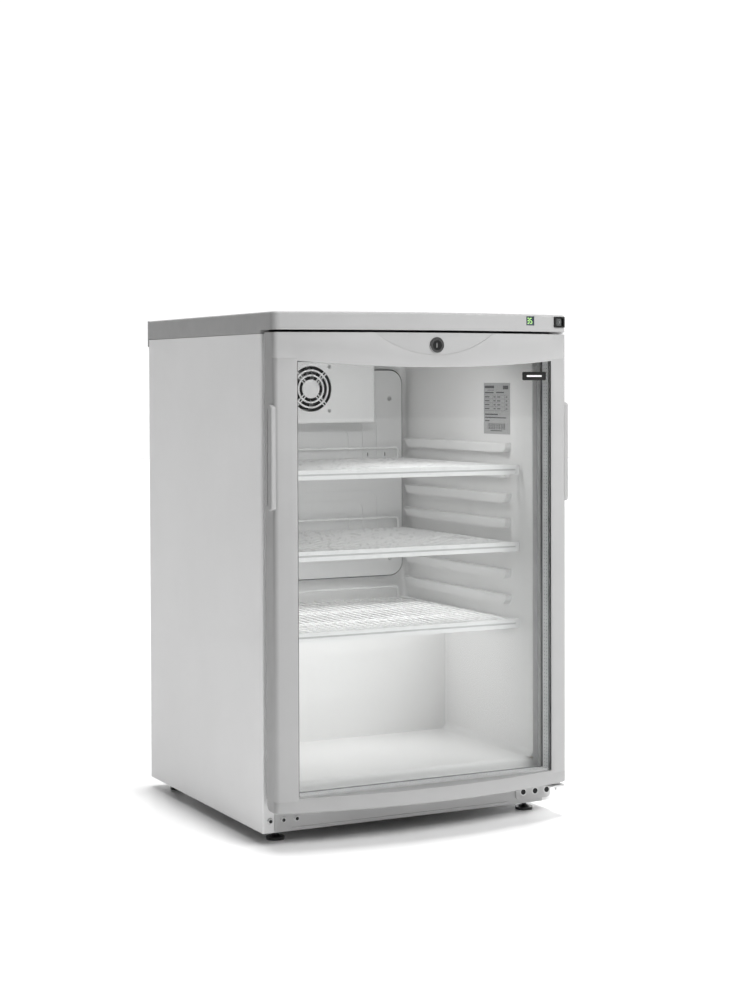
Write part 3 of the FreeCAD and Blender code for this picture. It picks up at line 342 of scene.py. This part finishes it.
def pipe_copper():
    return finish("pipe_copper", (0.72, 0.38, 0.22), 0.32, tone=0.15, tone_size=0.03, grain=0.001,
                  depth=0.00001, metal=1.0).material


def foam():
    return finish("foam", (0.80, 0.72, 0.50), 0.9, tone=0.06, tone_size=0.05, grain=0.0015,
                  depth=0.0002).material


def label_film():
    return finish("label_film", grey(0.42), 0.35, tone=0.03, tone_size=0.02, grain=0.002,
                  depth=0.000005).material


def clear_glass():
    """Clear pane: lets light straight through, and reflects by Fresnel."""
    made = Nodes("clear_glass", rough=0.02, metal=1.0)
    made.shader.inputs["Base Color"].default_value = (0.95, 0.97, 0.97, 1)
    smear = made.noise(0.15, 4)
    made.link(made.spread(smear, 0.015, 0.03), made.shader.inputs["Roughness"])
    clear = made.add("ShaderNodeBsdfTransparent")
    clear.inputs["Color"].default_value = (0.992, 0.994, 0.993, 1)
    fresnel = made.add("ShaderNodeFresnel", IOR=1.32)
    mix = made.add("ShaderNodeMixShader")
    made.link(fresnel.outputs["Fac"], mix.inputs["Fac"])
    made.link(clear.outputs["BSDF"], mix.inputs[1])
    made.link(made.shader.outputs["BSDF"], mix.inputs[2])
    made.link(mix.outputs["Shader"], made.output.inputs["Surface"])
    return made.material


def digit_green():
    return finish("digit_green", (0.45, 0.85, 0.25), 0.3, tone=0.05, tone_size=0.004, grain=0.001,
                  glow=0.6, glow_color=(0.5, 0.85, 0.28, 1)).material


def seal_grey():
    return finish("seal_grey", grey(0.09), 0.5, tone=0.15, tone_size=0.02, grain=0.0008).material


def print_grey():
    return finish("print_grey", grey(0.10), 0.6, tone=0.1, tone_size=0.01, grain=0.0006).material


# Grey for the strips in the shelf-band grooves: painted shade.
def groove_painted_shade():
    return finish("groove_painted_shade", grey(0.56), 0.5, tone=0.04, tone_size=0.03, grain=0.0008).material


# Darker grey than the white steel: painted shade of the door's overhang on the plinth.
def plinth_painted_shade():
    return finish("plinth_painted_shade", grey(0.52), 0.4, tone=0.02, grain=0.0022, depth=0.00002).material


def floor_finish():
    made = finish("floor_finish", grey(0.93), 0.35, tone=0.002, tone_size=2.0, grain=0.05, depth=0.0000005,
                  rough_spread=0.01, specular=0.3)
    return made.material


def backdrop_finish():
    made = finish("backdrop_finish", grey(0.02), 0.9, tone=0.01, grain=0.05, glow=BACKDROP_STRENGTH,
                  glow_color=(1, 1, 1, 1), specular=0.0)
    return made.material


def shade_finish():
    return finish("shade_finish", grey(0.10), 0.9, tone=0.02, grain=0.01).material


MATERIALS = (
    white_steel, silver_plastic, white_liner, white_laminate, white_plastic, evaporator_white, white_wire,
    white_gasket, light_bracket, galvanised, zinc_steel, chrome, spacer_aluminium, black_plastic,
    black_rubber, compressor_black, dark_window, grey_rocker, lamp_lens, pipe_copper, foam, label_film,
    clear_glass,
)


def dress_nodes(made):
    """Gives each CAD node its slot's material."""
    for name, node in NODES.items():
        node.data.materials.clear()
        node.data.materials.append(made[SLOT_OF[name]])


# ---------------------------------------------------------------- mesh helpers
MM = 0.001


def add_slab(mesh, low, high, place=Matrix.Identity(4)):
    """Block between two corners, turned and moved by place."""
    corners = [place @ Vector((x, y, z)) for x in (low[0], high[0]) for y in (low[1], high[1])
               for z in (low[2], high[2])]
    v = [mesh.verts.new(corner) for corner in corners]
    for face in ((0, 1, 3, 2), (4, 6, 7, 5), (0, 4, 5, 1), (2, 3, 7, 6), (0, 2, 6, 4), (1, 5, 7, 3)):
        mesh.faces.new([v[i] for i in face])


def add_prism(mesh, outline, height, place):
    """Flat outline in the XZ plane of place, raised towards its -Y."""
    rear = [mesh.verts.new(place @ Vector((x, 0, z))) for x, z in outline]
    front = [mesh.verts.new(place @ Vector((x, -height, z))) for x, z in outline]
    count = len(outline)
    mesh.faces.new(rear)
    mesh.faces.new(front[::-1])
    for i in range(count):
        j = (i + 1) % count
        mesh.faces.new((rear[j], rear[i], front[i], front[j]))


def circle(radius, sides):
    turns = [2 * math.pi * i / sides for i in range(sides)]
    return [(radius * math.cos(t), radius * math.sin(t)) for t in turns]


def rounded(left, right, low, high, radius):
    """Outline of a rectangle with rounded corners."""
    points = []
    corners = ((right, high, 0), (left, high, 90), (left, low, 180), (right, low, 270))
    for x, z, start in corners:
        cx = x - math.copysign(radius, x - (left + right) / 2)
        cz = z - math.copysign(radius, z - (low + high) / 2)
        for step in range(7):
            turn = math.radians(start + step * 15)
            points.append((cx + radius * math.cos(turn), cz + radius * math.sin(turn)))
    return points


def add_hoop(mesh, outer, inner, height, place):
    """Raised flat ring between two outlines with equally many points."""
    rings = []
    for outline, y in ((outer, 0), (outer, -height), (inner, -height), (inner, 0)):
        rings.append([mesh.verts.new(place @ Vector((x, y, z))) for x, z in outline])
    count = len(outer)
    for a, b in zip(rings, rings[1:] + rings[:1]):
        for i in range(count):
            j = (i + 1) % count
            mesh.faces.new((a[i], a[j], b[j], b[i]))


def piece(name, body, material, fill, round_edges=0.0):
    """New mesh piece that rides on a body; fill(mesh) draws it."""
    drawn = bmesh.new()
    fill(drawn)
    bmesh.ops.recalc_face_normals(drawn, faces=drawn.faces)
    data = bpy.data.meshes.new(name)
    drawn.to_mesh(data)
    drawn.free()
    data.materials.append(material)
    made_piece = bpy.data.objects.new(name, data)
    bpy.context.scene.collection.objects.link(made_piece)
    if round_edges:
        edge = made_piece.modifiers.new("edges", "BEVEL")
        edge.width = round_edges
        edge.segments = 2
        edge.limit_method = "ANGLE"
    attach(made_piece, body)


# ---------------------------------------------------------------- small pieces
BOW_RADIUS = 0.953
SPACER_WALL = 5.5 * MM
SEAL_PROUD = 0.3 * MM
BEAD_WIDTH = 1.0 * MM
FRONT_SEAL = 1.6 * MM
REAR_SEAL = 3.0 * MM
HOLE_PITCH = 6 * MM
HOLE_RADIUS = 0.75 * MM
FRONT_SCREWS = (0.211, 0.2345, 0.2575)
BAND_TALL = 15.9 * MM
PLATE_SLOTS_X = (0.145, 0.181)
PLATE_SLOTS_Z = (0.591, 0.603)
DIGIT_LIT = {"3": "abcdg", "5": "acdfg"}


def on_bow(x, z):
    """Place on the bowed front at x and z, with -Y pointing out of the surface."""
    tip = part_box("worktop_frame")[0].y
    turn = math.asin(x / BOW_RADIUS)
    y = tip + BOW_RADIUS * (1 - math.cos(turn))
    return Matrix.Translation((x, y, z)) @ Matrix.Rotation(turn, 4, "Z")


def display_digits(material):
    """Two lit seven-segment digits behind the face of the window."""
    low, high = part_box("display_window")
    middle = on_bow((low.x + high.x) / 2, (low.z + high.z) / 2) @ Matrix.Translation((0, 0.25 * MM, 0))
    width, height, bar = 4.0 * MM, 8.4 * MM, 0.46 * MM

    def segment(mesh, x, z, upright, corner):
        length = height / 2 if upright else width
        half = length / 2 - bar * 0.6
        outline = [(-half, 0), (bar - half, bar), (half - bar, bar)]
        outline += [(half, 0), (half - bar, -bar), (bar - half, -bar)]
        if upright:
            outline = [(-b, a) for a, b in outline]
        add_prism(mesh, [(a + x + corner[0], b + z + corner[1]) for a, b in outline], 0.12 * MM, middle)

    def fill(mesh):
        places = {
            "a": (0, height / 2, False), "g": (0, 0, False), "d": (0, -height / 2, False),
            "b": (width / 2, height / 4, True), "c": (width / 2, -height / 4, True),
            "f": (-width / 2, height / 4, True), "e": (-width / 2, -height / 4, True),
        }
        for digit, x in (("3", -4.6 * MM), ("5", 1.6 * MM)):
            for name in DIGIT_LIT[digit]:
                segment(mesh, *places[name], (x, 0.2 * MM))

    piece("display_digits", "cabinet", material, fill)


def rocker_marks(material):
    """Bar and ring moulded on the two ends of the rocker."""
    low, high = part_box("switch_rocker")
    x = (low.x + high.x) / 2
    z = (low.z + high.z) / 2
    flat = on_bow(x, z)
    flat.translation.y = low.y + 0.9 * MM

    def fill(mesh):
        ring = flat @ Matrix.Translation((3.2 * MM, 0.3 * MM, 0)) @ Matrix.Rotation(math.radians(20), 4, "Z")
        add_hoop(mesh, circle(2.2 * MM, 24), circle(1.5 * MM, 24), 0.9 * MM, ring)
        bar = flat @ Matrix.Translation((-3.6 * MM, 2.2 * MM, 0)) @ Matrix.Rotation(math.radians(-4), 4, "Z")
        add_slab(mesh, (-0.5 * MM, -1.0 * MM, -2 * MM), (0.5 * MM, 0.6 * MM, 2 * MM), bar)

    piece("rocker_marks", "rocker", material, fill, 0.1 * MM)


def key_shutter(material):
    """Bright spring shutter behind the key slot."""
    low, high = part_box("lock_plug")
    z = (low.z + high.z) / 2

    def fill(mesh):
        half_w, half_h = 1.0 * MM, 3.8 * MM
        add_slab(mesh, (-half_w, low.y + 0.5 * MM, z - half_h), (half_w, low.y + 1.8 * MM, z + half_h))

    piece("key_shutter", "lock_cylinder", material, fill, 0.3 * MM)


def glass_seals(black, grey_seal):
    """Beads in front of the outer pane, and the sealing lines on both sides of the spacer."""
    outer, inner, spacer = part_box("outer_glass"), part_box("inner_glass"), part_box("glass_spacer")
    half = spacer[1].x - SPACER_WALL
    low = spacer[0].z + 12 * MM
    high = spacer[1].z - SPACER_WALL
    opening = 233 * MM

    def front(mesh):
        for side in (-1, 1):
            a, b = sorted((side * (opening - BEAD_WIDTH), side * (opening - 0.02 * MM)))
            add_slab(mesh, (a, outer[0].y - 2.9 * MM, low), (b, outer[0].y - 0.03 * MM, high - 3 * MM))
            a, b = sorted((side * (half - SEAL_PROUD), side * (half + 0.05 * MM)))
            add_slab(mesh, (a, outer[1].y + 0.02 * MM, low), (b, outer[1].y + FRONT_SEAL, high))

    def rear(mesh):
        y = inner[0].y
        around = Matrix.Translation((0, y - 0.02 * MM, 0))
        edge = [(-half, low), (half, low), (half, high), (-half, high)]
        proud = SEAL_PROUD
        inside = [(proud - half, low + proud), (half - proud, low + proud), (half - proud, high - proud),
                  (proud - half, high - proud)]
        add_hoop(mesh, edge, inside, REAR_SEAL, around)

    piece("glazing_beads", "door", black, front)
    piece("pane_seal", "door", grey_seal, rear)


def spacer_hole_shades(material):
    """Two rows of small drying holes round the inside of the spacer bar, drawn as dark discs: painted shade
    in the holes.
    """
    outer, inner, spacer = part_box("outer_glass"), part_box("inner_glass"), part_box("glass_spacer")
    half = spacer[1].x - SPACER_WALL
    low = spacer[0].z + 12 * MM
    high = spacer[1].z - SPACER_WALL
    middle = (outer[1].y + inner[0].y) / 2
    dot = circle(HOLE_RADIUS, 6)

    def row(mesh, start, end, turn, y):
        count = int((end - start) / HOLE_PITCH)
        for number in range(count):
            along = start + (number + 0.5) * (end - start) / count
            for side in (-1, 1):
                if turn:
                    place = Matrix.Translation((side * half, y, along))
                    place = place @ Matrix.Rotation(math.radians(-90 * side), 4, "Z")
                else:
                    edge = high if side > 0 else low
                    place = Matrix.Translation((along, y, edge))
                    place = place @ Matrix.Rotation(math.radians(90 * side), 4, "X")
                add_prism(mesh, dot, 0.05 * MM, place)

    def fill(mesh):
        for y in (middle - 4.5 * MM, middle + 2.5 * MM):
            row(mesh, low, high, True, y)
            row(mesh, -half, half, False, y)

    piece("spacer_hole_shades", "door", material, fill)


def badge_trim(material):
    """Plain pale bar on the blank badge."""
    low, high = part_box("badge_plate")
    place = Matrix.Translation(((low.x + high.x) / 2, low.y + 0.02 * MM, (low.z + high.z) / 2))
    half_w = (high.x - low.x) / 2 - 1.2 * MM
    bar = rounded(7 * MM - half_w, half_w - 7 * MM, -1.3 * MM, 1.3 * MM, 0.6 * MM)

    def fill(mesh):
        add_prism(mesh, bar, 0.15 * MM, place)

    piece("badge_trim", "door", material, fill)


def label_print(material):
    """Generic rows, rules and bars on the rating label, with no lettering."""
    low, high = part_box("rating_label")
    width = high.y - low.y
    height = high.z - low.z

    def mark(mesh, left, right, top, bottom):
        y0 = high.y - right * width
        y1 = high.y - left * width
        z0 = high.z - bottom * height
        z1 = high.z - top * height
        add_slab(mesh, (low.x - 0.08 * MM, y0, z0), (low.x + 0.02 * MM, y1, z1))

    def fill(mesh):
        mark(mesh, 0.04, 0.40, 0.055, 0.105)
        mark(mesh, 0.74, 0.94, 0.055, 0.125)
        mark(mesh, 0.14, 0.40, 0.137, 0.147)
        mark(mesh, 0.04, 0.38, 0.18, 0.205)
        mark(mesh, 0.48, 0.78, 0.175, 0.20)
        for number in range(5):
            rule = 0.235 + number * 0.077
            mark(mesh, 0.02, 0.96, rule, rule + 0.004)
            if number < 4:
                for left, right in ((0.04, 0.22), (0.38, 0.45), (0.52, 0.64), (0.84, 0.91)):
                    mark(mesh, left, right, rule + 0.03, rule + 0.05)
        for left in (0.35, 0.46, 0.80):
            mark(mesh, left, left + 0.004, 0.235, 0.543)
        for number, right in enumerate((0.55, 0.86, 0.22)):
            mark(mesh, 0.05, right, 0.605 + number * 0.063, 0.63 + number * 0.063)
        for number in range(22):
            wide = 0.009 + 0.006 * (number % 3)
            left = 0.16 + number * 0.031
            mark(mesh, left, left + wide, 0.79, 0.91)
        mark(mesh, 0.26, 0.70, 0.925, 0.945)

    piece("label_print", "cabinet", material, fill)


def plate_painted_shadow(material):
    """Dark edge drawn round the evaporator plate and behind its two slots: painted shadow of the gap behind
    the plate, and painted shade in the slots.
    """
    low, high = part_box("evaporator_plate")
    show, back = 2.2 * MM, 12 * MM
    slot_low, slot_high = PLATE_SLOTS_Z
    place = Matrix.Translation((0, low.y + 5.0 * MM, 0))
    outer = rounded(low.x - show, high.x + show, low.z - show, high.z + show, 27 * MM)
    inner = rounded(low.x + back, high.x - back, low.z + back, high.z - back, 14 * MM)

    def fill(mesh):
        add_hoop(mesh, outer, inner, 1.2 * MM, place)
        for x in PLATE_SLOTS_X:
            start, end = x - 3 * MM, x + 3 * MM
            add_slab(mesh, (start, low.y + 3.6 * MM, slot_low), (end, low.y + 4.6 * MM, slot_high))

    piece("plate_painted_shadow", "cabinet", material, fill)


def painted_groove_shades(material):
    """Grey strip in the bottom of the groove along each shelf band: painted shade in the groove."""
    for number, body in ((1, "shelf_top"), (2, "shelf_middle"), (3, "shelf_bottom")):
        low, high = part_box("shelf_%d" % number)
        front = low.y + 1.0 * MM
        top = low.z + 0.3 * MM + BAND_TALL

        def fill(mesh):
            strip_low = (low.x + 4 * MM, front, top - 9.3 * MM)
            strip_high = (high.x - 4 * MM, front + 0.7 * MM, top - 6.5 * MM)
            add_slab(mesh, strip_low, strip_high)

        piece("shelf_groove_%d" % number, body, material, fill, 0.2 * MM)


def screw_recess_shades(material):
    """Dark discs over the driver recesses of the screws along the front sheet: painted shade in the recesses.
    """
    low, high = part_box("front_screws")
    z = (low.z + high.z) / 2

    def fill(mesh):
        for x in FRONT_SCREWS:
            add_prism(mesh, circle(4.7 * MM, 20), 0.4 * MM, Matrix.Translation((x, low.y + 0.1 * MM, z)))
            add_prism(mesh, circle(2.9 * MM, 20), 0.4 * MM, Matrix.Translation((-x, low.y + 0.35 * MM, z)))

    piece("screw_recess_shades", "cabinet", material, fill, 0.1 * MM)


# ---------------------------------------------------------------- softened edges
SOFT_EDGES = {
    "worktop_panel": 0.4, "door_header": 0.9, "door_bottom_rail": 0.9,
    "door_stile_left": 0.9, "door_stile_right": 0.9, "door_handle_left": 0.7,
    "door_handle_right": 0.7, "side_panel_left": 0.4, "side_panel_right": 0.4, "plinth": 0.4,
    "fan_housing": 0.6, "light_housing": 0.6, "switch_bezel": 0.5, "bottom_hinge_bracket": 0.4,
    "door_gasket": 1.0, "relay_box": 0.8, "drip_tray": 0.8, "rear_panel": 0.3, "badge_plate": 0.15,
    "display_window": 0.3, "evaporator_plate": 0.5, "lock_plug": 0.4, "inner_liner": 1.2,
}


def soften_edges():
    """Moulded and folded edges get their small real radius."""
    for name, width in SOFT_EDGES.items():
        node = NODES[name]
        weld = node.modifiers.new("weld", "WELD")
        weld.merge_threshold = 1e-6
        edge = node.modifiers.new("edges", "BEVEL")
        edge.width = width * MM
        edge.segments = 2
        edge.limit_method = "ANGLE"
        edge.angle_limit = math.radians(42)
        edge.use_clamp_overlap = True
        edge.harden_normals = True


# ---------------------------------------------------------------- put together
make_camera()
make_studio(floor_finish(), shade_finish(), backdrop_finish())
materials = {make.__name__: make() for make in MATERIALS}
dress_nodes(materials)
# The plinth gets the darker grey, painted shade under the door.
NODES["plinth"].data.materials[0] = plinth_painted_shade()
soften_edges()
display_digits(digit_green())
rocker_marks(materials["zinc_steel"])
key_shutter(materials["zinc_steel"])
glass_seals(materials["black_rubber"], seal_grey())
spacer_hole_shades(materials["black_rubber"])
badge_trim(materials["spacer_aluminium"])
screw_recess_shades(materials["black_plastic"])
# Dark edge round the evaporator plate, painted shadow of the gap behind it.
plate_painted_shadow(materials["black_rubber"])
painted_groove_shades(groove_painted_shade())
label_print(print_grey())
